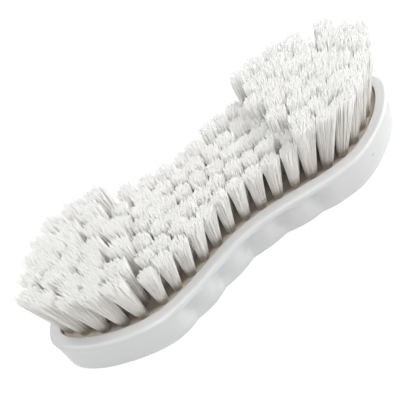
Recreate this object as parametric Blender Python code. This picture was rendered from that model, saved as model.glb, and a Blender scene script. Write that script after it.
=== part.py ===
# Figure-eight scrubbing brush lying on its back: a moulded handle with a raised rim and
# finger lobes, a tuft board seated in its recess, and nineteen rows of bristle tufts.
# X runs along the brush, Z points the way the bristles do, the origin is under the middle.

import math

import bmesh
import bpy
import numpy as np

# Driving dimensions, in metres

# Handle outline
handle_length = 0.205
end_width = 0.068
waist_width = 0.0518
widest_station_share = 0.2732
end_exponent = 1.53

# Handle section
handle_height = 0.0207
rim_width = 0.0061
rim_edge_radius = 0.0018
rim_lip_radius = 0.0005
wall_draft = 0.0030
base_edge_radius = 0.0010
recess_depth = 0.00275

# Finger lobes on both long sides
lobe_pitch = 0.0195
lobe_count = 4
lobe_depth = 0.0034
lobe_ledge = 0.0003
lobe_centre = -0.0045
lobe_crease_width = 0.0026
lobe_top_clearance = 0.0047
lobe_fade_height = 0.0022
lobe_foot_share = 0.25
lobe_full_from_share = 0.8

# Tuft board
fit_gap = 0.0003
board_thickness = 0.0055
strip_thickness = 0.0025

# Tufts
column_count = 19
end_tuft_margin = 0.00805
tuft_margin = 0.0050
tuft_edge_clearance = 0.0004
tuft_spread = 0.0026
strand_root_gap = 0.0003
strand_tip_gap = 0.0006
strand_sink = 0.0004
short_tuft_height = 0.0256
tall_tuft_height = 0.0340
right_tall_from_share = 0.166
left_tall_from_share = 0.190
left_tall_slant_share = 0.15
tuft_clearance = 0.00025
wide_row_from = 0.0184
middle_row_from = 0.0108
narrow_row_from = 0.0054
filling_shares = (-0.4, 0.4, -0.5, 0.5)
tip_raggedness = 0.0009
end_lean = math.radians(12.7)
side_lean = math.radians(18.8)
lean_reach_share = 0.195

# Mesh resolution
waist_steps = 26
end_steps = 18
edge_steps = 3
fade_steps = 3
strand_sides = 4
smooth_angle = math.radians(40)
tip_seed = 7

# Worked out from the values above
widest_station = handle_length * widest_station_share
right_tall_from = handle_length * right_tall_from_share
left_tall_from = handle_length * left_tall_from_share
lean_reach = handle_length * lean_reach_share
recess_half_length = handle_length / 2 - rim_width
recess_end_half_width = end_width / 2 - rim_width
recess_waist_half_width = waist_width / 2 - rim_width
face_height = handle_height - recess_depth
strip_bottom = face_height - strip_thickness
board_top = strip_bottom - fit_gap
board_bottom = board_top - board_thickness
recess_floor = board_bottom - fit_gap
tuft_pitch = 2 * (recess_half_length - end_tuft_margin) / column_count
tuft_root_width = tuft_pitch / 2 - fit_gap - 2 * tuft_edge_clearance
tuft_tip_width = tuft_root_width + tuft_spread

handle_colour = (0.86, 0.87, 0.87, 1.0)
board_colour = (0.33, 0.29, 0.25, 1.0)
bristle_colour = (0.80, 0.79, 0.76, 1.0)


def recess_quarter():
    """Points of the recess edge from the waist at +Y to the tip at +X."""
    points = []
    for step in range(waist_steps):
        share = step / waist_steps
        swell_share = (1 - math.cos(math.pi * share)) / 2
        half_width = recess_waist_half_width
        half_width += (recess_end_half_width - recess_waist_half_width) * swell_share
        points.append((widest_station * share, half_width))
    end_reach = recess_half_length - widest_station
    for step in range(end_steps + 1):
        angle = math.pi / 2 * step / end_steps
        along = widest_station + end_reach * math.sin(angle) ** (2 / end_exponent)
        across = recess_end_half_width * max(math.cos(angle), 0) ** (2 / end_exponent)
        points.append((along, across))
    return points


def recess_loop():
    """The whole recess edge as a closed loop, counterclockwise from above."""
    quarter = np.array(recess_quarter())
    right_front = quarter * (1, -1)
    left_back = quarter * (-1, 1)
    left_front = quarter * (-1, -1)
    return np.vstack([
        right_front,
        quarter[::-1][1:],
        left_back[1:],
        left_front[::-1][1:-1],
    ])


def offset_loop(loop, distance):
    """Moves each point of a closed loop outwards by a distance along its normal."""
    tangent = np.roll(loop, -1, axis=0) - np.roll(loop, 1, axis=0)
    tangent /= np.linalg.norm(tangent, axis=1)[:, None]
    normal = np.stack([tangent[:, 1], -tangent[:, 0]], axis=1)
    return loop + normal * np.reshape(distance, (-1, 1))


def lobe_profile(stations):
    """How far the creases between the finger lobes reach in, as shares of their depth."""
    reach = lobe_pitch * (lobe_count + 1) / 2
    phase = (stations - lobe_centre) / lobe_pitch + lobe_count / 2
    rounding_share = lobe_crease_width / lobe_pitch
    wave = np.sqrt(np.sin(math.pi * phase) ** 2 + rounding_share ** 2)
    full_share = math.sqrt(1 + rounding_share ** 2)
    depth_share = (full_share - wave) / (full_share - rounding_share)
    return np.where(np.abs(stations - lobe_centre) < reach, depth_share, 0)


def handle_levels():
    """Rings of the handle from its underside up, over the rim and down the recess:
    height, inset from the outer edge, share of the lobe depth, and share of the ledge."""
    levels = []
    for step in range(edge_steps + 1):
        angle = math.pi / 2 * step / edge_steps
        height = base_edge_radius * (1 - math.cos(angle))
        inset = wall_draft + base_edge_radius * (1 - math.sin(angle))
        levels.append((height, inset, lobe_foot_share, 1))
    wall_top = handle_height - rim_edge_radius
    fade_top = handle_height - lobe_top_clearance
    fade_bottom = fade_top - lobe_fade_height
    full_from = fade_bottom * lobe_full_from_share
    levels.append((full_from, wall_draft * (1 - full_from / wall_top), 1, 1))
    for step in range(fade_steps + 1):
        share = step / fade_steps
        height = fade_bottom + lobe_fade_height * share
        inset = wall_draft * (1 - height / wall_top)
        fade_share = (1 + math.cos(math.pi * share)) / 2
        levels.append((height, inset, fade_share, fade_share))
    for step in range(edge_steps + 1):
        angle = math.pi / 2 * step / edge_steps
        height = wall_top + rim_edge_radius * math.sin(angle)
        levels.append((height, rim_edge_radius * (1 - math.cos(angle)), 0, 0))
    levels.append((handle_height, rim_width - rim_lip_radius, 0, 0))
    levels.append((handle_height - rim_lip_radius, rim_width, 0, 0))
    levels.append((recess_floor, rim_width, 0, 0))
    return levels


def half_width_at(loop, station):
    """Half the width of a loop at a station along the brush."""
    back = loop[loop[:, 1] > -fit_gap]
    back = back[np.argsort(back[:, 0])]
    return float(np.interp(station, back[:, 0], back[:, 1]))


def new_object(name, bm, material, collection):
    """Turns a bmesh into a flat-shaded object with outward faces."""
    bmesh.ops.recalc_face_normals(bm, faces=bm.faces)
    mesh = bpy.data.meshes.new(name)
    bm.to_mesh(mesh)
    bm.free()
    mesh.materials.append(material)
    obj = bpy.data.objects.new(name, mesh)
    collection.objects.link(obj)
    return obj


def principled(name, colour, roughness):
    """A plain material with one colour and roughness."""
    material = bpy.data.materials.new(name)
    material.use_nodes = True
    shader = material.node_tree.nodes["Principled BSDF"]
    shader.inputs["Base Color"].default_value = colour
    shader.inputs["Roughness"].default_value = roughness
    shader.inputs["Metallic"].default_value = 0.0
    material.diffuse_color = colour
    return material


def make_handle(material, collection):
    """The moulded handle as one loft of rings, closed by its underside and recess floor."""
    edge = recess_loop()
    bm = bmesh.new()
    rings = []
    for height, inset, lobe_share, ledge_share in handle_levels():
        dent = lobe_depth * lobe_share * lobe_profile(edge[:, 0]) + lobe_ledge * ledge_share
        ring = offset_loop(edge, rim_width - inset - dent)
        rings.append([bm.verts.new((x, y, height)) for x, y in ring])
    for lower, upper in zip(rings, rings[1:]):
        for index, corner in enumerate(lower):
            following = (index + 1) % len(lower)
            bm.faces.new((corner, lower[following], upper[following], upper[index]))
    bm.faces.new(rings[0][::-1])
    bm.faces.new(rings[-1])
    handle = new_object("handle_body", bm, material, collection)
    handle.data.shade_smooth()
    handle.data.set_sharp_from_angle(angle=smooth_angle)
    return handle


def prism(bm, outline, bottom, top):
    """A flat outline made solid between two heights."""
    corners = [bm.verts.new((x, y, bottom)) for x, y in outline]
    face = bm.faces.new(corners)
    raised = bmesh.ops.extrude_face_region(bm, geom=[face])["geom"]
    moved = [item for item in raised if isinstance(item, bmesh.types.BMVert)]
    bmesh.ops.translate(bm, verts=moved, vec=(0, 0, top - bottom))


def make_board(material, collection):
    """The board that fills the bottom of the recess and carries the tuft strips."""
    outline = offset_loop(recess_loop(), -fit_gap)
    bm = bmesh.new()
    prism(bm, outline, board_bottom, board_top)
    return new_object("tuft_board", bm, material, collection)


def column_station(column):
    """Station of a whole column of tufts; half columns stand between two of them."""
    return (column - (column_count - 1) / 2) * tuft_pitch


def tuft_height(station, across):
    """Tufts are tall over both ends and short over the waist, and at the left the tall ones
    start nearer the middle towards the back."""
    if station > right_tall_from:
        return tall_tuft_height
    if -station > left_tall_from - left_tall_slant_share * across:
        return tall_tuft_height
    return short_tuft_height


def lean_at(station, across):
    """Sideways travel per unit of height, fanning out from the middle of the brush."""
    along_share = math.tanh(station / lean_reach)
    across_share = across / (end_width / 2)
    return np.array((math.tan(end_lean) * along_share, math.tan(side_lean) * across_share))


def row_shares(reach, is_half_column):
    """Where the tufts of a column stand across the brush, as shares of its half width."""
    if reach > wide_row_from:
        return (-2 / 3, 0, 2 / 3) if is_half_column else (-1, -1 / 3, 1 / 3, 1)
    if reach > middle_row_from:
        return (-1 / 2, 1 / 2) if is_half_column else (-1, 0, 1)
    if reach > narrow_row_from:
        return (-2 / 3, 2 / 3) if is_half_column else (-1, 1)
    return (0,)


def tufts_clear(first, second):
    """Whether two tufts stay apart along one direction, from their roots to the lower tip."""
    shared_height = min(tuft_height(*first), tuft_height(*second))
    for axis in (0, 1):
        gaps = []
        for height in (0, shared_height):
            centres = []
            width = 0
            for place in (first, second):
                grown_share = height / tuft_height(*place)
                spread = (tuft_tip_width - tuft_root_width) * grown_share
                width += (tuft_root_width + spread) / 2
                centres.append((np.array(place) + lean_at(*place) * height)[axis])
            gaps.append(abs(centres[0] - centres[1]) - width)
        if min(gaps) > tuft_clearance:
            return True
    return False


def plan_tufts(ring):
    """Roots of all tufts by column: first the outer ring, then the staggered rows inside it,
    then tufts that fill what is left, each where it stays clear of those before it."""
    half_steps = range(-1, 2 * column_count)
    outwards = sorted(half_steps, key=lambda step: abs(step - column_count + 1))
    candidates = []
    for step in outwards:
        station = (step - column_count + 1) * tuft_pitch / 2
        reach = half_width_at(ring, station)
        is_half_column = step % 2 == 1
        for share in row_shares(reach, is_half_column):
            in_ring = abs(share) == 1
            candidates.append((0 if in_ring else 1, step, (station, reach * share)))
        for share in filling_shares:
            candidates.append((2, step, (station, reach * share)))
    candidates.sort(key=lambda candidate: candidate[0])
    columns = {column: [] for column in range(column_count)}
    placed = []
    for _, step, place in candidates:
        if all(tufts_clear(place, other) for other in placed):
            placed.append(place)
            columns[max(step // 2, 0)].append(place)
    return columns


def add_strand(bm, root, tip, root_side, tip_side, tip_heights):
    """One tapering strand of a tuft, with a ragged cut at its tip."""
    made = bmesh.ops.create_cone(bm, cap_ends=True, segments=strand_sides,
                                 radius1=1, radius2=1, depth=1)
    corner_index = 0
    for vert in made["verts"]:
        turn = math.atan2(vert.co.y, vert.co.x) + math.pi / strand_sides
        out = np.array((math.cos(turn), math.sin(turn)))
        if vert.co.z > 0:
            place = tip[:2] + out * tip_side / math.sqrt(2)
            vert.co = (*place, tip[2] + tip_heights[corner_index])
            corner_index += 1
        else:
            place = root[:2] + out * root_side / math.sqrt(2)
            vert.co = (*place, root[2])


def add_tuft(bm, station, across, random):
    """Four strands that share a hole and spread apart towards their tips."""
    lean = lean_at(station, across)
    height = tuft_height(station, across)
    root_side = (tuft_root_width - strand_root_gap) / 2
    tip_side = (tuft_tip_width - strand_tip_gap) / 2
    root_shift = (root_side + strand_root_gap) / 2
    tip_shift = (tip_side + strand_tip_gap) / 2
    centre = np.array((station, across))
    for side_x in (-1, 1):
        for side_y in (-1, 1):
            side = np.array((side_x, side_y))
            root_place = centre - lean * strand_sink + side * root_shift
            tip_place = centre + lean * height + side * tip_shift
            root = (*root_place, face_height - strand_sink)
            tip = (*tip_place, face_height + height + tip_raggedness * random.uniform(-1, 0))
            tip_heights = tip_raggedness * random.uniform(-1, 0, strand_sides)
            add_strand(bm, np.array(root), np.array(tip), root_side, tip_side, tip_heights)


def strip_outline(board_outline, start, stop):
    """The part of the board's outline between two stations, as a closed polygon."""
    stations = board_outline[board_outline[:, 1] > 0][:, 0]
    inside = sorted(stations[(stations > start) & (stations < stop)])
    back_edge = [(x, half_width_at(board_outline, x)) for x in (start, *inside, stop)]
    front_edge = [(x, -y) for x, y in back_edge if y > fit_gap]
    return front_edge + back_edge[::-1]


def make_row(column, places, board_outline, materials, collections, random):
    """A strip of the board's face with its column of tufts, joined into one solid."""
    name = f"tuft_row_{column + 1:02d}"
    tip_reach = board_outline[:, 0].max()
    start = -tip_reach
    stop = tip_reach
    if column > 0:
        start = column_station(column) - tuft_pitch / 4 + fit_gap / 2
    if column < column_count - 1:
        stop = column_station(column + 1) - tuft_pitch / 4 - fit_gap / 2
    bm = bmesh.new()
    prism(bm, strip_outline(board_outline, start, stop), strip_bottom, face_height)
    row = new_object(name, bm, materials["board"], collections["parts"])
    row.data.materials.append(materials["bristle"])

    bm = bmesh.new()
    for station, across in places:
        add_tuft(bm, station, across, random)
    for face in bm.faces:
        face.material_index = 1
    strands = new_object(name + "_strands", bm, materials["board"], collections["cutters"])
    strands.data.materials.append(materials["bristle"])
    strands.hide_render = True
    strands.display_type = "WIRE"

    union = row.modifiers.new("strands", "BOOLEAN")
    union.operation = "UNION"
    union.solver = "EXACT"
    union.object = strands
    return row


def main():
    for obj in list(bpy.data.objects):
        bpy.data.objects.remove(obj, do_unlink=True)
    parts = bpy.data.collections.new("scrub_brush")
    cutters = bpy.data.collections.new("cutters")
    for collection in (parts, cutters):
        bpy.context.scene.collection.children.link(collection)
    collections = {"parts": parts, "cutters": cutters}
    materials = {
        "handle": principled("handle_white", handle_colour, 0.35),
        "board": principled("board_taupe", board_colour, 0.6),
        "bristle": principled("bristle_white", bristle_colour, 0.5),
    }
    make_handle(materials["handle"], parts)
    make_board(materials["board"], parts)
    board_outline = offset_loop(recess_loop(), -fit_gap)
    ring = offset_loop(recess_loop(), -tuft_margin)
    random = np.random.default_rng(tip_seed)
    for column, places in plan_tufts(ring).items():
        make_row(column, places, board_outline, materials, collections, random)


main()
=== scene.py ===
# Dressed scrubbing brush: white moulded handle, taupe tuft board and fanned nylon bristles.
# Everything is in metres, X runs along the brush and Z is the way the bristles point.

import math

import bmesh
import bpy
import numpy as np
from mathutils import Matrix, Vector


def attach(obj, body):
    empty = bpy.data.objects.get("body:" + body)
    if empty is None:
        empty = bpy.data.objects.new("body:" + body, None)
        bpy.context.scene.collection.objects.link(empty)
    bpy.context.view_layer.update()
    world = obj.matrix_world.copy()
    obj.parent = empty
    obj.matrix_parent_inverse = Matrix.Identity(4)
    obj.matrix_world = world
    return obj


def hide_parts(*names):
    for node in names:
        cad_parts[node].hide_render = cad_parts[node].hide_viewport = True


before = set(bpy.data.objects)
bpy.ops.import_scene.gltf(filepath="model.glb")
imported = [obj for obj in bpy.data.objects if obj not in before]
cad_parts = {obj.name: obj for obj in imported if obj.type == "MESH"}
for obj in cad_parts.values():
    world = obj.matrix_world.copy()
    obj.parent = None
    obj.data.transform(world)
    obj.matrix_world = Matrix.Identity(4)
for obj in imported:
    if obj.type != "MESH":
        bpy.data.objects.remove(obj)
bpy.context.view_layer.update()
scene = bpy.context.scene
print("frame loaded:", len(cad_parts), "nodes")


# Small helpers for node trees

def addNode(tree, kind, **settings):
    node = tree.nodes.new(kind)
    for name, value in settings.items():
        setattr(node, name, value)
    return node


def feed(tree, socket, value):
    if isinstance(value, bpy.types.NodeSocket):
        tree.links.new(value, socket)
    else:
        socket.default_value = value


def calc(tree, operation, *values):
    node = addNode(tree, "ShaderNodeMath", operation=operation)
    for socket, value in zip(node.inputs, values):
        feed(tree, socket, value)
    return node.outputs[0]


def calcVector(tree, operation, *values, scale=None):
    node = addNode(tree, "ShaderNodeVectorMath", operation=operation)
    for socket, value in zip(node.inputs, values):
        feed(tree, socket, value)
    if scale is not None:
        feed(tree, node.inputs["Scale"], scale)
    return node.outputs["Vector"]


def newTree(name, sizes):
    # a geometry tree with one named input for each size, and one for the material
    tree = bpy.data.node_groups.new(name, "GeometryNodeTree")
    tree.is_modifier = True
    tree.interface.new_socket("Geometry", in_out="INPUT", socket_type="NodeSocketGeometry")
    for label, value in sizes.items():
        kind = "NodeSocketInt" if isinstance(value, int) else "NodeSocketFloat"
        socket = tree.interface.new_socket(label, in_out="INPUT", socket_type=kind)
        socket.default_value = value
    tree.interface.new_socket("Material", in_out="INPUT", socket_type="NodeSocketMaterial")
    tree.interface.new_socket("Geometry", in_out="OUTPUT", socket_type="NodeSocketGeometry")
    return tree, addNode(tree, "NodeGroupInput"), addNode(tree, "NodeGroupOutput")


def finishTree(tree, start, end, setPlace):
    # every geometry tree ends in Realize Instances and Set Material
    realized = addNode(tree, "GeometryNodeRealizeInstances")
    feed(tree, realized.inputs[0], setPlace.outputs[0])
    finish = addNode(tree, "GeometryNodeSetMaterial")
    feed(tree, finish.inputs["Geometry"], realized.outputs[0])
    feed(tree, finish.inputs["Material"], start.outputs["Material"])
    feed(tree, end.inputs[0], finish.outputs[0])


def namedValue(tree, name, kind="FLOAT"):
    node = addNode(tree, "GeometryNodeInputNamedAttribute", data_type=kind)
    node.inputs["Name"].default_value = name
    return node.outputs["Attribute"]


def storeValue(tree, geometry, name, value, kind="FLOAT"):
    node = addNode(tree, "GeometryNodeStoreNamedAttribute", data_type=kind, domain="POINT")
    feed(tree, node.inputs["Geometry"], geometry)
    node.inputs["Name"].default_value = name
    feed(tree, node.inputs["Value"], value)
    return node.outputs["Geometry"]


def randomValue(tree, low, high, seed):
    node = addNode(tree, "FunctionNodeRandomValue", data_type="FLOAT")
    feed(tree, node.inputs[2], low)         # 2, 3 and 1 are the sockets for a float
    feed(tree, node.inputs[3], high)
    feed(tree, node.inputs["Seed"], seed)
    return node.outputs[1]


def runTree(objects, tree, values):
    # sets the inputs by identifier, evaluates, and keeps the result as a plain mesh
    for obj, extra in objects:
        modifier = obj.modifiers.new(tree.name, "NODES")
        modifier.node_group = tree
        chosen = {**values, **extra}
        for item in tree.interface.items_tree:
            if item.in_out == "INPUT" and item.name in chosen:
                modifier[item.identifier] = chosen[item.name]
    depsgraph = bpy.context.evaluated_depsgraph_get()
    for obj, _ in objects:
        made = bpy.data.meshes.new_from_object(
            obj.evaluated_get(depsgraph), preserve_all_data_layers=True, depsgraph=depsgraph)
        obj.modifiers.clear()
        obj.data = made


# Materials

def shaderGroup(name, inputs, outputs):
    group = bpy.data.node_groups.new(name, "ShaderNodeTree")
    for label, kind, value in inputs:
        socket = group.interface.new_socket(label, in_out="INPUT", socket_type="NodeSocket" + kind)
        if value is not None:
            socket.default_value = value
    for label, kind in outputs:
        group.interface.new_socket(label, in_out="OUTPUT", socket_type="NodeSocket" + kind)
    return group, addNode(group, "NodeGroupInput"), addNode(group, "NodeGroupOutput")


def noiseTexture(tree, vector, scale, detail=2.0, roughness=0.5):
    node = addNode(tree, "ShaderNodeTexNoise")
    feed(tree, node.inputs["Vector"], vector)
    feed(tree, node.inputs["Scale"], scale)
    node.inputs["Detail"].default_value = detail
    node.inputs["Roughness"].default_value = roughness
    return node.outputs["Fac"]


def mixColour(tree, factor, first, second):
    node = addNode(tree, "ShaderNodeMix", data_type="RGBA", blend_type="MIX")
    feed(tree, node.inputs["Factor"], factor)
    feed(tree, node.inputs["A"], first)
    feed(tree, node.inputs["B"], second)
    return node.outputs["Result"]


def spread(tree, value, low, high, newLow=0.0, newHigh=1.0):
    node = addNode(tree, "ShaderNodeMapRange", clamp=True, interpolation_type="SMOOTHSTEP")
    for socket, number in zip(node.inputs, (value, low, high, newLow, newHigh)):
        feed(tree, socket, number)
    return node.outputs["Result"]


mouldedDetail = {
    "mottleDetail": 4.0,
    "mottleRange": (0.35, 0.75),
    "scuffStretch": (0.35, 1.0, 2.4),       # the scuffs run along the brush
    "scuffScale": 420.0,
    "scuffNoise": (5.0, 0.65),              # detail and roughness of the noise
    "scuffRange": (0.5, 0.9),
    "patchScale": 55.0,       # the scuffs lie in patches
    "patchRange": (0.48, 0.66),
    "mottleRoughness": 0.06,
    "scuffRelief": -0.4,      # beside the peel's own height
}


def makeMouldedGroup():
    # mottle, fine orange peel and faint handling scuffs of injection-moulded plastic
    detail = mouldedDetail
    group, start, end = shaderGroup(
        "mouldedPlastic",
        [("Vector", "Vector", None), ("Base", "Color", (0.8, 0.8, 0.8, 1)),
         ("Tint", "Color", (0.75, 0.74, 0.72, 1)), ("Mottle scale", "Float", 30.0),
         ("Peel scale", "Float", 900.0), ("Smooth", "Float", 0.3), ("Scuffed", "Float", 0.45)],
        [("Colour", "Color"), ("Roughness", "Float"), ("Height", "Float")])
    vector = start.outputs["Vector"]
    mottle = noiseTexture(group, vector, start.outputs["Mottle scale"], detail["mottleDetail"])
    mottle = spread(group, mottle, *detail["mottleRange"])
    feed(group, end.inputs["Colour"],
         mixColour(group, mottle, start.outputs["Base"], start.outputs["Tint"]))
    stretched = calcVector(group, "MULTIPLY", vector, detail["scuffStretch"])
    scuffs = noiseTexture(group, stretched, detail["scuffScale"], *detail["scuffNoise"])
    scuffs = spread(group, scuffs, *detail["scuffRange"])
    patches = noiseTexture(group, vector, detail["patchScale"])
    scuffs = calc(group, "MULTIPLY", scuffs, spread(group, patches, *detail["patchRange"]))
    span = calc(group, "SUBTRACT", start.outputs["Scuffed"], start.outputs["Smooth"])
    rough = calc(group, "MULTIPLY_ADD", scuffs, span, start.outputs["Smooth"])
    drift = calc(group, "MULTIPLY", calc(group, "SUBTRACT", mottle, 0.5),
                 detail["mottleRoughness"])
    feed(group, end.inputs["Roughness"], calc(group, "ADD", rough, drift))
    peel = noiseTexture(group, vector, start.outputs["Peel scale"])
    feed(group, end.inputs["Height"],
         calc(group, "MULTIPLY_ADD", scuffs, detail["scuffRelief"], peel))
    return group


mouldedGroup = makeMouldedGroup()


def newMaterial(name, viewColour):
    material = bpy.data.materials.new(name)
    material.use_nodes = True
    material.diffuse_color = viewColour
    tree = material.node_tree
    return material, tree, tree.nodes["Principled BSDF"]


def useMoulded(tree, shader, vector, finish):
    # gives the shader this finish's roughness and relief, and returns its colour
    node = addNode(tree, "ShaderNodeGroup", node_tree=mouldedGroup)
    feed(tree, node.inputs["Vector"], vector)
    for name, value in finish["moulded"].items():
        feed(tree, node.inputs[name], value)
    feed(tree, shader.inputs["Roughness"], node.outputs["Roughness"])
    bump = addNode(tree, "ShaderNodeBump")
    bump.inputs["Strength"].default_value = 1.0
    bump.inputs["Distance"].default_value = finish["peelDepth"]
    feed(tree, bump.inputs["Height"], node.outputs["Height"])
    feed(tree, shader.inputs["Normal"], bump.outputs["Normal"])
    return node.outputs["Colour"]


def objectCoordinates(tree):
    return addNode(tree, "ShaderNodeTexCoord").outputs["Object"]


def storedValue(tree, name):
    return addNode(tree, "ShaderNodeAttribute", attribute_name=name).outputs["Fac"]


handleFinish = {
    "moulded": {
        "Base": (0.648, 0.657, 0.658, 1),
        "Tint": (0.622, 0.628, 0.622, 1),
        "Mottle scale": 22.0,
        "Peel scale": 700.0,
        "Smooth": 0.32,
        "Scuffed": 0.40,
    },
    "peelDepth": 0.00004,
    "speckPlace": (0.0684, -0.0301, 0.0118),
    "speckRadius": 0.00085,
    "speckWobble": 2200.0,    # scale of the noise that makes its edge uneven
    "speckColour": (0.42, 0.41, 0.39, 1),
}


def makeHandleMaterial():
    finish = handleFinish
    material, tree, shader = newMaterial("handleWhitePlastic", finish["moulded"]["Base"])
    place = objectCoordinates(tree)
    colour = useMoulded(tree, shader, place, finish)
    # one small moulded-in speck on the front wall, near the right end
    distance = addNode(tree, "ShaderNodeVectorMath", operation="DISTANCE")
    feed(tree, distance.inputs[0], place)
    distance.inputs[1].default_value = finish["speckPlace"]
    wobble = noiseTexture(tree, place, finish["speckWobble"])
    radius = calc(tree, "MULTIPLY", wobble, finish["speckRadius"] * 2)     # wobble is about 0.5
    inside = calc(tree, "LESS_THAN", distance.outputs["Value"], radius)
    feed(tree, shader.inputs["Base Color"],
         mixColour(tree, inside, colour, finish["speckColour"]))
    return material


boardFinish = {
    "moulded": {
        "Base": (0.713, 0.638, 0.543, 1),
        "Tint": (0.632, 0.563, 0.475, 1),
        "Mottle scale": 90.0,
        "Peel scale": 1500.0,
        "Smooth": 0.55,
        "Scuffed": 0.68,
    },
    "peelDepth": 0.00008,
    "paintedShade": (0.235, 0.200, 0.164, 1),      # painted shade between the tufts, where they shadow the face
}


def makeBoardMaterial():
    material, tree, shader = newMaterial("tuftBoardTaupe", boardFinish["moulded"]["Base"])
    colour = useMoulded(tree, shader, objectCoordinates(tree), boardFinish)
    # towards the tufts the face turns to painted shade, by the stored value inside
    feed(tree, shader.inputs["Base Color"],
         mixColour(tree, storedValue(tree, "inside"), colour, boardFinish["paintedShade"]))
    return material


bristleFinish = {
    # painted shade: the filaments are darker and warmer towards the roots, for the shade and the
    # board's bounce there
    "root": (0.80, 0.752, 0.688, 1),
    "shaft": (0.905, 0.897, 0.872, 1),
    # painted highlight: the tips are a little whiter, for the light they catch
    "tip": (0.912, 0.912, 0.898, 1),
    "shade": (0.78, 0.75, 0.71, 1),         # some filaments are tinted towards this
    "rootShadeRange": (0.05, 0.72),              # shares of a filament's length, over which the painted root shade fades out
    "tipHighlightRange": (0.86, 1.0),
    "shadeRange": (0.55, 1.0),              # of the filaments' random tones
    "shadeShare": 0.5,
    "roughness": 0.52,
    "streakScale": 900.0,
    "streakRoughness": 0.16,
}


def makeBristleMaterial():
    finish = bristleFinish
    material, tree, shader = newMaterial("bristleNylon", finish["shaft"])
    along = storedValue(tree, "along")
    # painted shade at the roots, fading out along the filament
    rootShadeMask = spread(tree, along, *finish["rootShadeRange"], 1.0, 0.0)
    # painted highlight towards the tips
    tipHighlightMask = spread(tree, along, *finish["tipHighlightRange"])
    shadeMask = spread(tree, storedValue(tree, "tone"), *finish["shadeRange"],
                       0.0, finish["shadeShare"])
    colour = mixColour(tree, rootShadeMask, finish["shaft"], finish["root"])
    colour = mixColour(tree, shadeMask, colour, finish["shade"])
    colour = mixColour(tree, tipHighlightMask, colour, finish["tip"])
    feed(tree, shader.inputs["Base Color"], colour)
    streaks = noiseTexture(tree, objectCoordinates(tree), finish["streakScale"])
    rough = calc(tree, "MULTIPLY_ADD", streaks, finish["streakRoughness"],
                 finish["roughness"] - finish["streakRoughness"] / 2)
    feed(tree, shader.inputs["Roughness"], rough)
    return material


handleMaterial = makeHandleMaterial()
boardMaterial = makeBoardMaterial()
bristleMaterial = makeBristleMaterial()
print("materials ready")


# Handle

handleSizes = {
    "length": 0.205,
    "endWidth": 0.068,
    "waistWidth": 0.0518,
    "widestStation": 0.0560,
    "endExponent": 1.53,      # 2 gives elliptical ends, less gives pointed ones
    "height": 0.0207,
    "rimWidth": 0.0061,
    "rimEdge": 0.0018,        # rounding outside
    "rimLip": 0.0005,         # and inside
    "wallDraft": 0.0025,      # how far the foot of the wall is set in
    "endFullness": 0.0013,    # how much of the draft is missing at the two tips
    "endFrom": 0.080,         # the station where this starts
    "baseEdge": 0.0010,
    "recessDepth": 0.00275,
    "boardDepth": 0.0086,     # board, strips and their gaps under the tuft face
    "waistSteps": 110,        # points along a quarter of the outline, waist and end
    "endSteps": 64,
    "baseSteps": 7,           # rings of each part of the profile, from the base to the lip
    "wallSteps": 25,
    "rimSteps": 8,
    "flatSteps": 4,
    "lipSteps": 4,
}

lobeSizes = {
    "Pitch": 0.0195,
    "Lobes": 4,
    "Centre": -0.0045,
    "Depth": 0.0041,          # how far the creases between the lobes reach in
    "Crease": 0.0013,         # the less, the sharper they are
    "Foot share": 0.30,       # how much of the depth is left at the foot of the wall
    "Foot rise": 0.5,         # from there it is full at this share of the fade's lower end
    "Ledge": 0.0003,          # how far the whole wall below the fade is set back
    "Fade top": 0.0174,       # the lobes end below the rim at this height
    "Fade height": 0.0022,
}

faceHeight = handleSizes["height"] - handleSizes["recessDepth"]
sharpAngle = math.radians(50)


def recessEdge():
    # the recess outline as a closed loop, a waist that swells into two rounded ends
    sizes = handleSizes
    waistHalf = sizes["waistWidth"] / 2 - sizes["rimWidth"]
    endHalf = sizes["endWidth"] / 2 - sizes["rimWidth"]
    share = np.arange(sizes["waistSteps"]) / sizes["waistSteps"]
    waist = np.stack([sizes["widestStation"] * share,
                      waistHalf + (endHalf - waistHalf) * (1 - np.cos(np.pi * share)) / 2], 1)
    angle = np.pi / 2 * np.arange(sizes["endSteps"] + 1) / sizes["endSteps"]
    reach = sizes["length"] / 2 - sizes["rimWidth"] - sizes["widestStation"]
    power = 2 / sizes["endExponent"]
    end = np.stack([sizes["widestStation"] + reach * np.sin(angle) ** power,
                    endHalf * np.clip(np.cos(angle), 0, 1) ** power], 1)
    quarter = np.vstack([waist, end])
    return np.vstack([quarter * (1, -1), quarter[::-1][1:],
                      (quarter * (-1, 1))[1:], (quarter * (-1, -1))[::-1][1:-1]])


def outwardOf(loop):
    # the outward direction at each point of a loop that runs anticlockwise
    tangent = np.roll(loop, -1, axis=0) - np.roll(loop, 1, axis=0)
    tangent /= np.linalg.norm(tangent, axis=1)[:, None]
    return np.stack([tangent[:, 1], -tangent[:, 0]], 1)


def arc(steps):
    # the angles of a quarter turn
    return [math.pi / 2 * step / steps for step in range(steps + 1)]


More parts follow.
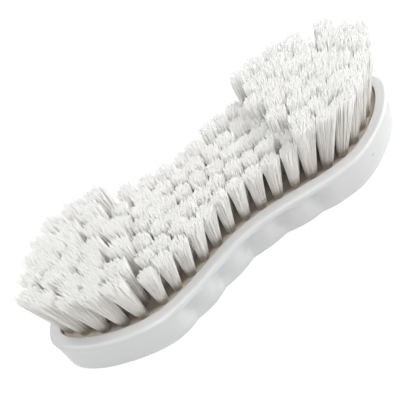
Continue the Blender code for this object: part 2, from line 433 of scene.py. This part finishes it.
def handleRings():
    # height and inset of each ring, from the underside over the rim into the recess
    sizes = handleSizes
    rings = []
    for angle in arc(sizes["baseSteps"]):
        rings.append((sizes["baseEdge"] * (1 - math.cos(angle)),
                      sizes["wallDraft"] + sizes["baseEdge"] * (1 - math.sin(angle))))
    wallTop = sizes["height"] - sizes["rimEdge"]
    for height in np.linspace(sizes["baseEdge"], wallTop, sizes["wallSteps"] + 1)[1:-1]:
        rings.append((height, sizes["wallDraft"] * (1 - height / wallTop)))
    for angle in arc(sizes["rimSteps"]):
        rings.append((wallTop + sizes["rimEdge"] * math.sin(angle),
                      sizes["rimEdge"] * (1 - math.cos(angle))))
    outerRings = len(rings)
    flat = sizes["rimWidth"] - sizes["rimLip"] - sizes["rimEdge"]
    for step in range(1, sizes["flatSteps"]):
        rings.append((sizes["height"], sizes["rimEdge"] + flat * (step / sizes["flatSteps"])))
    for angle in arc(sizes["lipSteps"]):
        rings.append((sizes["height"] - sizes["rimLip"] * (1 - math.cos(angle)),
                      sizes["rimWidth"] - sizes["rimLip"] * (1 - math.sin(angle))))
    rings.append((faceHeight, sizes["rimWidth"]))
    rings.append((faceHeight - sizes["boardDepth"], sizes["rimWidth"]))
    return rings, outerRings


def newPiece(name, bm, material):
    bmesh.ops.recalc_face_normals(bm, faces=bm.faces)
    mesh = bpy.data.meshes.new(name)
    bm.to_mesh(mesh)
    bm.free()
    mesh.materials.append(material)
    obj = bpy.data.objects.new(name, mesh)
    scene.collection.objects.link(obj)
    return obj


def loftRings(bm, loops):
    # a closed solid from loops of as many points each, the first and the last one capped
    rows = [[bm.verts.new(point) for point in loop] for loop in loops]
    for lower, upper in zip(rows, rows[1:]):
        for index in range(len(lower)):
            after = (index + 1) % len(lower)
            bm.faces.new((lower[index], lower[after], upper[after], upper[index]))
    bm.faces.new(rows[0][::-1])
    bm.faces.new(rows[-1])


def makeLobeTree():
    # presses the finger creases into the walls, along the outward direction of each point
    tree, start, end = newTree("fingerLobes", lobeSizes)
    value = start.outputs
    place = addNode(tree, "ShaderNodeSeparateXYZ")
    feed(tree, place.inputs[0], addNode(tree, "GeometryNodeInputPosition").outputs[0])
    fromCentre = calc(tree, "SUBTRACT", place.outputs["X"], value["Centre"])
    phase = calc(tree, "ADD", calc(tree, "DIVIDE", fromCentre, value["Pitch"]),
                 calc(tree, "DIVIDE", value["Lobes"], 2))
    rounding = calc(tree, "DIVIDE", value["Crease"], value["Pitch"])
    rounded = calc(tree, "MULTIPLY", rounding, rounding)
    wave = calc(tree, "SINE", calc(tree, "MULTIPLY", phase, math.pi))
    wave = calc(tree, "SQRT", calc(tree, "MULTIPLY_ADD", wave, wave, rounded))
    full = calc(tree, "SQRT", calc(tree, "ADD", rounded, 1.0))
    crease = calc(tree, "DIVIDE", calc(tree, "SUBTRACT", full, wave),
                  calc(tree, "SUBTRACT", full, rounding))
    reach = calc(tree, "MULTIPLY", value["Pitch"],
                 calc(tree, "DIVIDE", calc(tree, "ADD", value["Lobes"], 1), 2))
    inReach = calc(tree, "LESS_THAN", calc(tree, "ABSOLUTE", fromCentre), reach)
    fadeBottom = calc(tree, "SUBTRACT", value["Fade top"], value["Fade height"])
    fade = spread(tree, place.outputs["Z"], fadeBottom, value["Fade top"], 1.0, 0.0)
    fullFrom = calc(tree, "MULTIPLY", fadeBottom, value["Foot rise"])
    rise = spread(tree, place.outputs["Z"], 0.0, fullFrom, value["Foot share"], 1.0)
    amount = calc(tree, "MULTIPLY", calc(tree, "MULTIPLY", crease, inReach), rise)
    amount = calc(tree, "MULTIPLY_ADD", amount, value["Depth"], value["Ledge"])
    amount = calc(tree, "MULTIPLY", calc(tree, "MULTIPLY", amount, fade), -1.0)
    push = calcVector(tree, "SCALE", namedValue(tree, "outward", "FLOAT_VECTOR"), scale=amount)
    setPlace = addNode(tree, "GeometryNodeSetPosition")
    feed(tree, setPlace.inputs["Geometry"], value["Geometry"])
    feed(tree, setPlace.inputs["Offset"], push)
    finishTree(tree, start, end, setPlace)
    return tree


def makeHandle():
    sizes = handleSizes
    edge = recessEdge()
    outward = outwardOf(edge)
    rings, outerRings = handleRings()
    bm = bmesh.new()
    loops = []
    fromEnd = (np.abs(edge[:, :1]) - sizes["endFrom"]) / (
        sizes["length"] / 2 - sizes["rimWidth"] - sizes["endFrom"])
    fullness = sizes["endFullness"] * np.clip(fromEnd, 0, 1)
    wallTop = sizes["height"] - sizes["rimEdge"]
    for height, inset in rings:
        outset = fullness * max(1 - height / wallTop, 0)
        loop = edge + outward * (sizes["rimWidth"] - inset + outset)
        loops.append([(x, y, height) for x, y in loop])
    loftRings(bm, loops)
    handle = newPiece("brushHandle", bm, handleMaterial)
    # the tree moves only the points that have an outward direction, those of the outer rings
    walls = np.zeros((len(rings), len(edge), 3))
    walls[:outerRings, :, :2] = outward
    layer = handle.data.attributes.new("outward", "FLOAT_VECTOR", "POINT")
    layer.data.foreach_set("vector", walls.ravel())
    runTree([(handle, {})], makeLobeTree(), {**lobeSizes, "Material": handleMaterial})
    handle.data.shade_smooth()
    handle.data.set_sharp_from_angle(angle=sharpAngle)
    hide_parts("handle_body")
    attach(handle, "root")
    print("handle:", len(handle.data.polygons), "faces")


makeHandle()


# Tuft board

boardSizes = {
    "gap": 0.0003,
    "edgeRound": 0.0003,
    "roundSteps": 3,
    "bandStart": 0.0022,      # the face darkens with painted shade between these two distances from its edge
    "bandEnd": 0.0052,
}


def makeBoard():
    edge = recessEdge()
    outward = outwardOf(edge)
    bottom = faceHeight - handleSizes["boardDepth"] + boardSizes["gap"]
    bm = bmesh.new()
    loops = [(bottom, boardSizes["gap"])]
    for angle in arc(boardSizes["roundSteps"]):
        loops.append((faceHeight - boardSizes["edgeRound"] * (1 - math.sin(angle)),
                      boardSizes["gap"] + boardSizes["edgeRound"] * (1 - math.cos(angle))))
    loops += [(faceHeight, boardSizes["bandStart"]), (faceHeight, boardSizes["bandEnd"])]
    loftRings(bm, [[(x, y, height) for x, y in edge - outward * inset]
                   for height, inset in loops])
    board = newPiece("tuftBoardFace", bm, boardMaterial)
    # inside is 1 on the innermost ring, where the face is painted shade as the tufts shadow it
    inside = board.data.attributes.new("inside", "FLOAT", "POINT")
    inside.data.foreach_set("value", np.repeat([0.0] * (len(loops) - 1) + [1.0], len(edge)))
    board.data.shade_smooth()
    board.data.set_sharp_from_angle(angle=sharpAngle)
    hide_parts("tuft_board")
    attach(board, "root")
    print("board:", len(board.data.polygons), "faces")


makeBoard()


# Bristles

tuftSizes = {
    "columns": 19,            # one piece for each
    "columnShift": 0.25,      # a tuft this share of a pitch left of a column is still in it
    "endMargin": 0.00805,     # from the recess to the first column
    "sideMargin": 0.0050,     # from the recess to the outer ring
    "ringSteps": 22,          # steps of the outer ring from tip to tip
    "ringShift": 0.0030,      # how far the middle of the ring is shifted to the right
    "backShift": 0.0022,      # the further shift of its back half
    "backTallSteps": 7,       # steps from its last short tuft at the back to the right tip
    "tipTolerance": 0.0003,   # the back half of the ring starts this far in front of the tips
    "rootDistance": 0.0062,   # least distance between the roots of two tufts
    "rowLimits": (0.0184, 0.0108, 0.0054),  # half widths that a row needs for more tufts
    "fillDistance": 0.0063,   # least distance for the tufts that fill what the rows leave open
    "fillStep": 0.0012,
    # where the field parts or closes: station, slant, from and to where across, and how far
    # the roots and the leans are pushed apart
    "partings": (
        (-0.0560, 0.0, -0.04, 0.04, 0.0010, 0.0),
        (0.0360, 0.0, -0.026, 0.017, 0.0, -0.085),
        (0.0660, 0.5, 0.006, 0.04, 0.0012, 0.050),
    ),
    "partingReach": 0.0100,   # on both sides of the line
    "partingFade": 0.0100,    # at both ends of the line
    "shortHeight": 0.0256,
    "tallHeight": 0.0340,
    "tallFromRight": 0.0362,  # how far from the middle the tall fields start
    "tallFromLeft": 0.0462,
    "tallSlant": 0.38,        # the tall field starts nearer the middle at the back left
    "rightEndRise": 0.0026,   # how much taller the tufts at the right tip are
    "backRise": 0.0024,       # how much taller the short tufts at the back right are
    "backRiseAt": 0.0120,
    "backRiseReach": 0.0090,
    "backRiseFrom": 0.0100,   # how far behind the middle line this starts
    "middleLean": math.radians(4.5),
    "leftLean": math.radians(10.2),
    "leftStep": 0.0120,       # over how long a stretch the lean turns where the field starts
    "rightLean": math.radians(9.3),
    "rightTurn": 0.0390,      # the station where it has turned halfway at the right
    "rightStep": 0.0140,
    "rightFan": 0.17,         # how much further out the tufts near the right tip lean
    "rightFanAt": 0.0790,
    "rightFanReach": 0.0150,
    "rightFanFrom": 0.0120,   # how far in front of the middle line this starts
    "sideLean": math.radians(18.8),         # outwards at the two sides
    "backLean": 0.03,         # all lean back a little
    "leanJitter": 0.035,
    "heightJitter": 0.0005,
    "plumpJitter": 0.07,
    "tallPlump": 0.10,        # how much fuller the tall tufts are
    "shortDome": 0.0002,      # how much shorter a short tuft's outermost filaments are
    "seed": 11,
    "rowSeedStep": 100,       # each row's filaments get a seed this much higher
}

bristleSizes = {
    "Filaments": 340,
    "Sides": 4,
    "Segments": 3,
    "Thickness": 0.00017,
    "Root radius": 0.0024,
    "Root jitter": 0.05,      # of the radius of the spiral that the filaments stand on
    "Turn jitter": 0.12,      # and of its angle
    "Tuft turn": 37.0,        # turns each tuft's spiral by its own fullness
    "Fan along": 0.084,       # how much the radius grows for each unit of height
    "Fan across": 0.041,
    "Sink": 0.0006,           # how deep under the board's face the filaments start
    "Ragged": 0.0038,         # how much shorter the shortest filaments are
    "Ragged power": 2.5,
    "Locks across": 7.0,      # neighbouring filaments gather in locks
    "Lock variety": 900.0,    # gives each tuft other locks
    "Lock sway": 0.0010,      # how far each lock bends away as one
    "Gathering": 0.30,        # how far the tips move to the middle of their lock
    "Wander": 0.0006,         # how far each tip goes its own way
    "Stray share": 0.05,      # and how many go further, by this much
    "Stray reach": 0.0020,
}


def leftEdgeAt(across):
    # the station where the tall field at the left starts
    return tuftSizes["tallSlant"] * across - tuftSizes["tallFromLeft"]


def tuftHeight(place):
    station, across = place
    if station > tuftSizes["tallFromRight"] or station < leftEdgeAt(across):
        return tuftSizes["tallHeight"]
    if across < tuftSizes["backRiseFrom"]:
        return tuftSizes["shortHeight"]
    away = (station - tuftSizes["backRiseAt"]) / tuftSizes["backRiseReach"]
    return tuftSizes["shortHeight"] + tuftSizes["backRise"] * math.exp(-away ** 2)


def partedBy(station, across):
    # how far the partings push the root and the lean of a tuft at this place
    root = lean = 0.0
    for middle, slant, start, stop, rootPush, leanPush in tuftSizes["partings"]:
        away = station - middle - slant * across
        share = math.exp(-(away / tuftSizes["partingReach"]) ** 2)
        inside = min(across - start, stop - across) / tuftSizes["partingFade"]
        share *= math.copysign(min(max(inside, 0), 1), away)
        root += rootPush * share
        lean += leanPush * share
    return root, lean


def leanAt(station, across):
    # slightly to the right over the waist, outwards over both ends
    middle = math.tan(tuftSizes["middleLean"])
    if station < 0:
        end = -math.tan(tuftSizes["leftLean"])
        steps = (leftEdgeAt(across) - station) / tuftSizes["leftStep"]
    else:
        away = (station - tuftSizes["rightFanAt"]) / tuftSizes["rightFanReach"]
        share = math.exp(-away ** 2) * min(max(1 + across / tuftSizes["rightFanFrom"], 0), 1)
        end = math.tan(tuftSizes["rightLean"]) + tuftSizes["rightFan"] * share
        steps = (station - tuftSizes["rightTurn"]) / tuftSizes["rightStep"]
    return np.array((
        middle + (end - middle) * (1 + math.tanh(steps)) / 2 + partedBy(station, across)[1],
        math.tan(tuftSizes["sideLean"]) * across / (handleSizes["endWidth"] / 2)))


def rowShares(reach, between):
    # where the tufts of a row stand, as shares of the way from the middle line to the ring,
    # behind a front tuft or between two of them
    wide, middle, narrow = tuftSizes["rowLimits"]
    if reach > wide:
        return (-2 / 3, 0, 2 / 3) if between else (-1 / 3, 1 / 3)
    if reach > middle:
        return (-1 / 2, 1 / 2) if between else (0,)
    if reach > narrow:
        return (-2 / 3, 2 / 3) if between else ()
    return (0,)


def ringPlaces(ring):
    # tufts of the outer ring, evenly spaced along it from tip to tip, front and back
    back = ring[ring[:, 1] > -tuftSizes["tipTolerance"]]
    back = back[np.argsort(back[:, 0])]
    travel = np.concatenate([[0], np.cumsum(np.linalg.norm(np.diff(back, axis=0), axis=1))])
    shares = np.linspace(0, 1, tuftSizes["ringSteps"] + 1)
    places = [(back[0, 0], 0.0), (back[-1, 0], 0.0)]
    for side, extra in ((-1, 0), (1, tuftSizes["backShift"])):
        shift = (tuftSizes["ringShift"] + extra) * np.sin(np.pi * shares)
        stops = (shares * travel[-1] + shift)[1:-1]
        if side > 0:
            # wider steps at the back right, where the tall tufts fan out
            isShort = np.interp(stops, travel, back[:, 0]) < tuftSizes["tallFromRight"]
            last = stops[isShort][-1]
            wide = np.linspace(last, travel[-1], tuftSizes["backTallSteps"] + 1)[1:-1]
            stops = np.concatenate([stops[isShort], wide])
        stations = np.interp(stops, travel, back[:, 0])
        across = np.interp(stops, travel, back[:, 1])
        places += [(x, y * side) for x, y in zip(stations, across)]
    return places, back


def planTufts():
    # outer ring first, then staggered rows, then whatever still fits, from the middle out
    columns = tuftSizes["columns"]
    halfLength = handleSizes["length"] / 2 - handleSizes["rimWidth"]
    pitch = 2 * (halfLength - tuftSizes["endMargin"]) / columns
    edge = recessEdge()
    placed, back = ringPlaces(edge - outwardOf(edge) * tuftSizes["sideMargin"])

    def reachAt(station):
        return float(np.interp(station, back[:, 0], back[:, 1]))

    def placeWhereClear(place, distance):
        if all(math.dist(place, other) > distance for other in placed):
            placed.append(place)

    fronts = sorted(x for x, y in placed if y < 0)
    columnStations = [(x, False) for x in fronts]
    columnStations += [((x + after) / 2, True) for x, after in zip(fronts, fronts[1:])]
    for station, between in sorted(columnStations, key=lambda entry: abs(entry[0])):
        for share in rowShares(reachAt(station), between):
            placeWhereClear((station, reachAt(station) * share), tuftSizes["rootDistance"])
    fillStep = tuftSizes["fillStep"]
    for step in range(int(halfLength / fillStep)):
        for station in (-step * fillStep, step * fillStep):
            for sideStep in range(int(reachAt(station) / fillStep)):
                for across in (-sideStep * fillStep, sideStep * fillStep):
                    placeWhereClear((station, across), tuftSizes["fillDistance"])
    rows = [[] for _ in range(columns)]
    for x, y in placed:
        column = math.floor(x / pitch + columns / 2 + tuftSizes["columnShift"])
        rows[min(max(column, 0), columns - 1)].append((x + partedBy(x, y)[0], y))
    print("tufts:", len(placed))
    return rows


def makeBristleTree():
    # spreads each tuft's root to a spiral of filament roots, and lets the filaments fan out
    tree, start, end = newTree("bristleTufts", {**bristleSizes, "Seed": 0})
    value = start.outputs
    flat = (1.0, 1.0, 0.0)

    def chance(low, high, number):
        return randomValue(tree, low, high, calc(tree, "ADD", value["Seed"], number))

    def jitter(name, number):
        return chance(calc(tree, "MULTIPLY", value[name], -1.0), value[name], number)

    def keptVector(name):
        return namedValue(tree, name, "FLOAT_VECTOR")

    points = addNode(tree, "GeometryNodeMeshToPoints")
    feed(tree, points.inputs["Mesh"], value["Geometry"])
    root = addNode(tree, "GeometryNodeInputPosition").outputs[0]
    made = storeValue(tree, points.outputs[0], "root", root, "FLOAT_VECTOR")
    copies = addNode(tree, "GeometryNodeDuplicateElements", domain="POINT")
    feed(tree, copies.inputs["Geometry"], made)
    feed(tree, copies.inputs["Amount"], value["Filaments"])

    # places on a unit disc, an even spiral with a little jitter
    number = copies.outputs["Duplicate Index"]
    share = calc(tree, "DIVIDE", calc(tree, "ADD", number, 0.5), value["Filaments"])
    radius = calc(tree, "ADD", calc(tree, "SQRT", share), jitter("Root jitter", 1))
    goldenAngle = math.pi * (3 - math.sqrt(5))
    turn = calc(tree, "MULTIPLY_ADD", number, goldenAngle,
                calc(tree, "MULTIPLY", namedValue(tree, "plump"), value["Tuft turn"]))
    turn = calc(tree, "ADD", turn, jitter("Turn jitter", 2))
    spiral = addNode(tree, "ShaderNodeCombineXYZ")
    feed(tree, spiral.inputs["X"], calc(tree, "MULTIPLY", radius, calc(tree, "COSINE", turn)))
    feed(tree, spiral.inputs["Y"], calc(tree, "MULTIPLY", radius, calc(tree, "SINE", turn)))
    made = storeValue(tree, copies.outputs["Geometry"], "disc", spiral.outputs[0],
                      "FLOAT_VECTOR")
    made = storeValue(tree, made, "tone", chance(0.0, 1.0, 3))
    made = storeValue(tree, made, "cut", chance(0.0, 1.0, 4))
    made = storeValue(tree, made, "spin", chance(0.0, math.tau, 5))
    made = storeValue(tree, made, "luck", chance(0.0, 1.0, 6))

    # loose wander of each filament, and the locks that neighbours gather into
    loose = addNode(tree, "ShaderNodeCombineXYZ")
    feed(tree, loose.inputs["X"], chance(-1.0, 1.0, 7))
    feed(tree, loose.inputs["Y"], chance(-1.0, 1.0, 8))
    made = storeValue(tree, made, "loose", loose.outputs[0], "FLOAT_VECTOR")
    variety = addNode(tree, "ShaderNodeCombineXYZ")
    feed(tree, variety.inputs["X"], value["Lock variety"])
    feed(tree, variety.inputs["Y"], value["Lock variety"])
    fieldPlace = calcVector(
        tree, "MULTIPLY_ADD", root, variety.outputs[0],
        calcVector(tree, "SCALE", keptVector("disc"), scale=value["Locks across"]))
    cells = addNode(tree, "ShaderNodeTexVoronoi", voronoi_dimensions="2D")
    feed(tree, cells.inputs["Vector"], fieldPlace)
    cells.inputs["Scale"].default_value = 1.0
    pull = calcVector(tree, "SUBTRACT", cells.outputs["Position"], fieldPlace)
    pull = calcVector(tree, "SCALE", calcVector(tree, "MULTIPLY", pull, flat),
                      scale=calc(tree, "DIVIDE", 1.0, value["Locks across"]))
    made = storeValue(tree, made, "pull", pull, "FLOAT_VECTOR")
    lock = calcVector(tree, "SUBTRACT", cells.outputs["Color"], (0.5, 0.5, 0.5))
    made = storeValue(tree, made, "lock", lock, "FLOAT_VECTOR")

    # the filament: a tube one unit high, its ring and height kept as attributes
    tube = addNode(tree, "GeometryNodeMeshCylinder", fill_type="NGON")
    feed(tree, tube.inputs["Vertices"], value["Sides"])
    feed(tree, tube.inputs["Side Segments"], value["Segments"])
    tube.inputs["Radius"].default_value = 1.0
    tube.inputs["Depth"].default_value = 1.0
    position = addNode(tree, "GeometryNodeInputPosition").outputs[0]
    apart = addNode(tree, "ShaderNodeSeparateXYZ")
    feed(tree, apart.inputs[0], position)
    shaft = storeValue(tree, tube.outputs["Mesh"], "along",
                       calc(tree, "ADD", apart.outputs["Z"], 0.5))
    shaft = storeValue(tree, shaft, "ring", calcVector(tree, "MULTIPLY", position, flat),
                       "FLOAT_VECTOR")
    smooth = addNode(tree, "GeometryNodeSetShadeSmooth")
    feed(tree, smooth.inputs["Geometry"], shaft)
    onPoints = addNode(tree, "GeometryNodeInstanceOnPoints")
    feed(tree, onPoints.inputs["Points"], made)
    feed(tree, onPoints.inputs["Instance"], smooth.outputs[0])
    realized = addNode(tree, "GeometryNodeRealizeInstances")
    feed(tree, realized.inputs[0], onPoints.outputs[0])

    # how long each filament is, ragged at the tip, and how high each of its points lies
    tall = namedValue(tree, "tall")
    ragged = calc(tree, "MULTIPLY", value["Ragged"],
                  calc(tree, "POWER", namedValue(tree, "cut"), value["Ragged power"]))
    outer = addNode(tree, "ShaderNodeVectorMath", operation="DOT_PRODUCT")
    feed(tree, outer.inputs[0], keptVector("disc"))
    feed(tree, outer.inputs[1], keptVector("disc"))
    ragged = calc(tree, "MULTIPLY_ADD", outer.outputs["Value"], namedValue(tree, "dome"),
                  ragged)
    ragged = calc(tree, "MULTIPLY", ragged, -1.0)
    lockParts = addNode(tree, "ShaderNodeSeparateXYZ")
    feed(tree, lockParts.inputs[0], keptVector("lock"))
    ragged = calc(tree, "MULTIPLY_ADD", lockParts.outputs["Z"], value["Lock sway"], ragged)
    length = calc(tree, "ADD", calc(tree, "ADD", tall, ragged), value["Sink"])
    height = calc(tree, "SUBTRACT", calc(tree, "MULTIPLY", namedValue(tree, "along"), length),
                  value["Sink"])
    grown = calc(tree, "DIVIDE", height, tall)
    bent = calc(tree, "MULTIPLY", grown, grown)

    # where it goes: the tuft's lean and fan, then locks, wander and the filament's own ring
    place = calcVector(tree, "ADD", keptVector("root"),
                       calcVector(tree, "SCALE", keptVector("lean"), scale=height))
    reach = addNode(tree, "ShaderNodeCombineXYZ")
    for axis, fan in (("X", "Fan along"), ("Y", "Fan across")):
        wide = calc(tree, "MULTIPLY_ADD", height, value[fan], value["Root radius"])
        feed(tree, reach.inputs[axis], calc(tree, "MULTIPLY", wide, namedValue(tree, "plump")))
    gathered = calcVector(tree, "SCALE", keptVector("pull"),
                          scale=calc(tree, "MULTIPLY", bent, value["Gathering"]))
    gathered = calcVector(tree, "ADD", keptVector("disc"), gathered)
    place = calcVector(tree, "MULTIPLY_ADD", gathered, reach.outputs[0], place)
    sway = calcVector(tree, "SCALE", calcVector(tree, "MULTIPLY", keptVector("lock"), flat),
                      scale=calc(tree, "MULTIPLY", bent, value["Lock sway"]))
    place = calcVector(tree, "ADD", place, sway)
    isStray = calc(tree, "LESS_THAN", namedValue(tree, "luck"), value["Stray share"])
    wander = calc(tree, "MULTIPLY_ADD", isStray, value["Stray reach"], value["Wander"])
    wandered = calcVector(tree, "SCALE", keptVector("loose"),
                          scale=calc(tree, "MULTIPLY", bent, wander))
    place = calcVector(tree, "ADD", place, wandered)
    turned = addNode(tree, "ShaderNodeVectorRotate", rotation_type="Z_AXIS")
    feed(tree, turned.inputs["Vector"], keptVector("ring"))
    feed(tree, turned.inputs["Angle"], namedValue(tree, "spin"))
    place = calcVector(tree, "ADD", place,
                       calcVector(tree, "SCALE", turned.outputs[0], scale=value["Thickness"]))
    up = addNode(tree, "ShaderNodeCombineXYZ")
    feed(tree, up.inputs["Z"], height)
    place = calcVector(tree, "ADD", place, up.outputs[0])
    setPlace = addNode(tree, "GeometryNodeSetPosition")
    feed(tree, setPlace.inputs["Geometry"], realized.outputs[0])
    feed(tree, setPlace.inputs["Position"], place)
    finishTree(tree, start, end, setPlace)
    return tree


def rootPoints(name, places, random):
    # one vertex at each tuft root, with the tuft's own lean, height and fullness
    mesh = bpy.data.meshes.new(name)
    mesh.from_pydata([(x, y, faceHeight) for x, y in places], [], [])
    shifts = random.uniform(-1, 1, (len(places), 4))
    leans = np.array([leanAt(*place) for place in places]) + (
        shifts[:, :2] * tuftSizes["leanJitter"] + (0, tuftSizes["backLean"]))
    lean = mesh.attributes.new("lean", "FLOAT_VECTOR", "POINT")
    lean.data.foreach_set("vector", np.pad(leans, ((0, 0), (0, 1))).ravel())
    heights = np.array([tuftHeight(place) for place in places])
    isTall = heights >= tuftSizes["tallHeight"]
    rise = np.clip([x / handleSizes["length"] * 2 for x, y in places], 0, 1) ** 2
    tall = mesh.attributes.new("tall", "FLOAT", "POINT")
    tall.data.foreach_set("value", heights + shifts[:, 2] * tuftSizes["heightJitter"]
                          + rise * tuftSizes["rightEndRise"])
    plump = mesh.attributes.new("plump", "FLOAT", "POINT")
    plump.data.foreach_set("value", 1 + shifts[:, 3] * tuftSizes["plumpJitter"]
                           + isTall * tuftSizes["tallPlump"])
    dome = mesh.attributes.new("dome", "FLOAT", "POINT")
    dome.data.foreach_set("value", np.where(isTall, 0.0, tuftSizes["shortDome"]))
    obj = bpy.data.objects.new(name, mesh)
    scene.collection.objects.link(obj)
    return obj


def makeBristles():
    random = np.random.default_rng(tuftSizes["seed"])
    rows = []
    for number, places in enumerate(planTufts(), start=1):
        row = rootPoints(f"bristleRow{number:02d}", places, random)
        rows.append((row, {"Seed": number * tuftSizes["rowSeedStep"]}))
    runTree(rows, makeBristleTree(), {**bristleSizes, "Material": bristleMaterial})
    faces = 0
    for number, (row, _) in enumerate(rows, start=1):
        # the materials read only the values along and tone
        for layer in ("root", "disc", "cut", "spin", "luck", "loose", "lock", "pull", "ring",
                      "lean", "tall", "plump", "dome"):
            found = row.data.attributes.get(layer)
            if found:
                row.data.attributes.remove(found)
        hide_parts(f"tuft_row_{number:02d}")
        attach(row, "root")
        faces += len(row.data.polygons)
    print("bristles:", faces, "faces")


makeBristles()


# Floor, light and camera

def seenRays(tree):
    # 1 for what the camera sees, straight or in a gloss, and 0 for what lights the brush
    rays = addNode(tree, "ShaderNodeLightPath")
    return calc(tree, "MAXIMUM", rays.outputs["Is Camera Ray"],
                calc(tree, "MAXIMUM", rays.outputs["Is Glossy Ray"],
                     rays.outputs["Is Transmission Ray"]))


floorSizes = {
    "half": 4.0,
    "colour": (0.86, 0.86, 0.86, 1),
    "roughness": 0.9,
    "seenGlow": 0.88,         # how much of its white the camera sees without any light
    "seenColour": (0.16, 0.16, 0.16, 1),    # and how much of it the lamps give
}


def makeFloor():
    bm = bmesh.new()
    bmesh.ops.create_grid(bm, x_segments=1, y_segments=1, size=floorSizes["half"])
    material, tree, shader = newMaterial("paleFloor", floorSizes["colour"])
    shader.inputs["Base Color"].default_value = floorSizes["colour"]
    shader.inputs["Roughness"].default_value = floorSizes["roughness"]
    # seen by the camera, most of the floor's white is its own, and the rest keeps the shadow
    soft = addNode(tree, "ShaderNodeBsdfDiffuse")
    soft.inputs["Color"].default_value = floorSizes["seenColour"]
    glow = addNode(tree, "ShaderNodeEmission")
    glow.inputs["Strength"].default_value = floorSizes["seenGlow"]
    seen = addNode(tree, "ShaderNodeAddShader")
    feed(tree, seen.inputs[0], soft.outputs[0])
    feed(tree, seen.inputs[1], glow.outputs[0])
    choose = addNode(tree, "ShaderNodeMixShader")
    feed(tree, choose.inputs[0], seenRays(tree))
    feed(tree, choose.inputs[1], shader.outputs[0])
    feed(tree, choose.inputs[2], seen.outputs[0])
    feed(tree, tree.nodes["Material Output"].inputs["Surface"], choose.outputs[0])
    floor = newPiece("floor", bm, material)


lightSizes = {
    "world": 0.05,
    "middle": (0, 0, 0.025),
    "lamps": (
        # name, direction from the middle, distance, size, level at the brush
        ("keyRight", (0.85, -0.5, 0.75), 1.0, 0.5, 0.50),
        ("sideRight", (1.0, 0.1, 0.35), 1.0, 0.5, 0.44),
        ("topSoft", (0.0, 0.05, 1.0), 1.2, 0.9, 0.13),
        ("backSoft", (-0.3, 0.9, 0.8), 1.2, 0.8, 0.20),
        ("leftSoft", (-0.9, 0.1, 0.8), 1.2, 0.8, 0.33),
        ("frontSoft", (-0.187, -0.724, 0.664), 1.2, 0.6, 0.43),
    ),
}


def makeLight():
    world = bpy.data.worlds.new("studio")
    scene.world = world
    world.use_nodes = True
    tree = world.node_tree
    background = tree.nodes["Background"]
    background.inputs["Color"].default_value = (1, 1, 1, 1)
    strength = calc(tree, "MULTIPLY_ADD", seenRays(tree), 1 - lightSizes["world"],
                    lightSizes["world"])
    feed(tree, background.inputs["Strength"], strength)
    middle = Vector(lightSizes["middle"])
    for name, direction, distance, size, level in lightSizes["lamps"]:
        lamp = bpy.data.lights.new(name, "AREA")
        lamp.shape = "DISK"
        lamp.size = size
        lamp.energy = level * math.pi ** 2 * distance ** 2      # a level of 1 shows white as 1
        obj = bpy.data.objects.new(name, lamp)
        toLamp = Vector(direction).normalized()
        obj.location = middle + toLamp * distance
        obj.rotation_mode = "QUATERNION"
        obj.rotation_quaternion = (-toLamp).to_track_quat("-Z", "Y")
        scene.collection.objects.link(obj)


cameraSizes = {             # fitted to the rim and the front row of tufts
    "place": (-0.09180, -0.32169, 0.32659),
    "right": (0.76538, -0.53129, -0.36321),
    "down": (-0.61581, -0.44061, -0.65317),
    "lens": 85.5,
    "sensor": 36.0,
    "clip": (0.01, 20.0),
}


def makeCamera():
    data = bpy.data.cameras.new("camera")
    data.sensor_width = cameraSizes["sensor"]
    data.lens = cameraSizes["lens"]
    data.clip_start, data.clip_end = cameraSizes["clip"]
    obj = bpy.data.objects.new("camera", data)
    right = Vector(cameraSizes["right"]).normalized()
    up = -Vector(cameraSizes["down"]).normalized()
    back = right.cross(up).normalized()
    up = back.cross(right)
    turned = Matrix((right, up, back)).transposed()
    obj.rotation_mode = "QUATERNION"
    obj.rotation_quaternion = turned.to_quaternion()
    obj.location = cameraSizes["place"]
    scene.collection.objects.link(obj)
    scene.camera = obj


makeFloor()
makeLight()
makeCamera()
scene.view_settings.view_transform = "Standard"
print("floor, light and camera ready")
